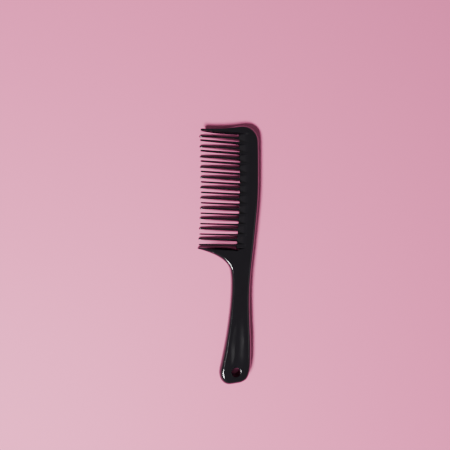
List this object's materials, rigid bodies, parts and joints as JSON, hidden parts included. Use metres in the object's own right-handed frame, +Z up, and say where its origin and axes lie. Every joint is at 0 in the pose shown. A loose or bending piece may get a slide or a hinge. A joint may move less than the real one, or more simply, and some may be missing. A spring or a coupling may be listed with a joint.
{
  "type": "wide tooth comb",
  "caption": "Long wide tooth comb with two staggered rows of tapered teeth, guard teeth at both ends, and a slim handle with a thumb recess and a hang hole.",
  "frame": {"origin": "centre of the footprint on the surface that the comb lies on, back face down", "axes": "+Y along the comb toward the head, handle toward -Y; teeth point toward -X; +Z up through the thickness"},
  "size_m": [0.052, 0.2192, 0.0124],
  "materials": {
    "spine_plastic": "satin gloss moulded black",
    "handle_plastic": "satin gloss moulded black",
    "end_guard_plastic": "satin gloss moulded black",
    "heel_guard_plastic": "satin gloss moulded black",
    "front_tooth_plastic": "satin gloss moulded black",
    "rear_tooth_plastic": "satin gloss moulded black"
  },
  "bodies": {
    "root": {"spine": "spine_plastic", "handle": "handle_plastic", "end_guard": "end_guard_plastic", "heel_guard": "heel_guard_plastic", "front_tooth_01": "front_tooth_plastic", "front_tooth_02": "front_tooth_plastic", "front_tooth_03": "front_tooth_plastic", "front_tooth_04": "front_tooth_plastic", "front_tooth_05": "front_tooth_plastic", "front_tooth_06": "front_tooth_plastic", "front_tooth_07": "front_tooth_plastic", "front_tooth_08": "front_tooth_plastic", "front_tooth_09": "front_tooth_plastic", "front_tooth_10": "front_tooth_plastic", "front_tooth_11": "front_tooth_plastic", "rear_tooth_01": "rear_tooth_plastic", "rear_tooth_02": "rear_tooth_plastic", "rear_tooth_03": "rear_tooth_plastic", "rear_tooth_04": "rear_tooth_plastic", "rear_tooth_05": "rear_tooth_plastic", "rear_tooth_06": "rear_tooth_plastic", "rear_tooth_07": "rear_tooth_plastic", "rear_tooth_08": "rear_tooth_plastic", "rear_tooth_09": "rear_tooth_plastic", "rear_tooth_10": "rear_tooth_plastic", "rear_tooth_11": "rear_tooth_plastic"}
  },
  "joints": []
}
